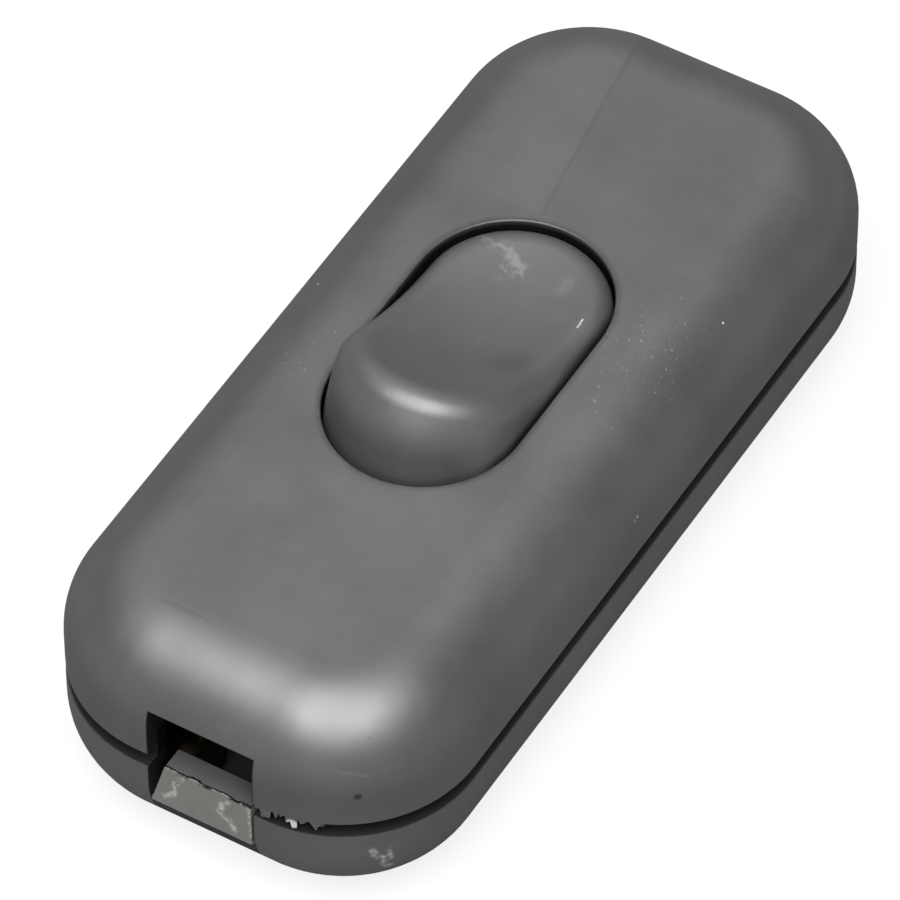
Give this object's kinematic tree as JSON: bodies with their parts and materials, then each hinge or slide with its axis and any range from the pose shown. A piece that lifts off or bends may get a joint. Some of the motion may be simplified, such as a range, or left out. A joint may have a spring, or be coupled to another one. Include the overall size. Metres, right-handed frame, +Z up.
{
  "type": "inline cord switch",
  "caption": "Pillow-shaped two-shell switch for the middle of a flat cord, with a dished rocker, sprung plungers, rocking contact blades, screw terminals and cord clamps.",
  "frame": {"origin": "middle of the flat underside", "axes": "+X along the body away from the torn cord entry, +Y across it, +Z up through the rocker"},
  "size_m": [0.06, 0.026, 0.0204],
  "materials": {
    "housing_plastic": "satin",
    "rocker_plastic": "semi-gloss",
    "clamp_plastic": "satin",
    "plunger_plastic": "smooth",
    "spring_steel": "drawn",
    "plated_steel": "plated",
    "brass": "stamped",
    "blade_bronze": "stamped",
    "silver": "satin"
  },
  "bodies": {
    "housing": {"upper_housing": "housing_plastic", "lower_housing": "housing_plastic", "fixed_contact_left": "silver", "fixed_contact_right": "silver", "supply_terminal_left": "brass", "supply_terminal_right": "brass", "load_terminal_left": "brass", "load_terminal_right": "brass", "terminal_screws": "plated_steel", "clamp_screws": "brass", "cord_clamp_near": "clamp_plastic", "cord_clamp_far": "clamp_plastic", "housing_screws": "plated_steel"},
    "rocker": {"rocker": "rocker_plastic", "plunger_spring_left": "spring_steel", "plunger_spring_right": "spring_steel"},
    "blade_left": {"contact_blade_left": "blade_bronze", "moving_contact_left": "silver"},
    "plunger_left": {"plunger_left": "plunger_plastic"},
    "blade_right": {"contact_blade_right": "blade_bronze", "moving_contact_right": "silver"},
    "plunger_right": {"plunger_right": "plunger_plastic"}
  },
  "joints": [
    {"name": "rocker_tilt", "type": "hinge", "parent": "housing", "child": "rocker", "pos_m": [0, 0, 0.0131], "axis": [0, -1, 0], "range_deg": [0, 30]},
    {"name": "blade_left_tilt", "type": "hinge", "parent": "housing", "child": "blade_left", "pos_m": [0, 0.0032, 0.006], "axis": [0, 1, 0], "range_deg": [0, 24]},
    {"name": "plunger_left_slide", "type": "slide", "parent": "rocker", "child": "plunger_left", "axis": [0.2588, 0, 0.9659], "range_m": [0, 0.0008], "stiffness_N_per_m": 500, "springref_m": -0.002, "deforming": ["plunger_spring_left"]},
    {"name": "blade_right_tilt", "type": "hinge", "parent": "housing", "child": "blade_right", "pos_m": [0, -0.0032, 0.006], "axis": [0, 1, 0], "range_deg": [0, 24]},
    {"name": "plunger_right_slide", "type": "slide", "parent": "rocker", "child": "plunger_right", "axis": [0.2588, 0, 0.9659], "range_m": [0, 0.0008], "stiffness_N_per_m": 500, "springref_m": -0.002, "deforming": ["plunger_spring_right"]}
  ],
  "couplings": [
    {"joint": "blade_left_tilt", "follows": "rocker_tilt", "ratio": 0.8},
    {"joint": "blade_right_tilt", "follows": "rocker_tilt", "ratio": 0.8}
  ]
}
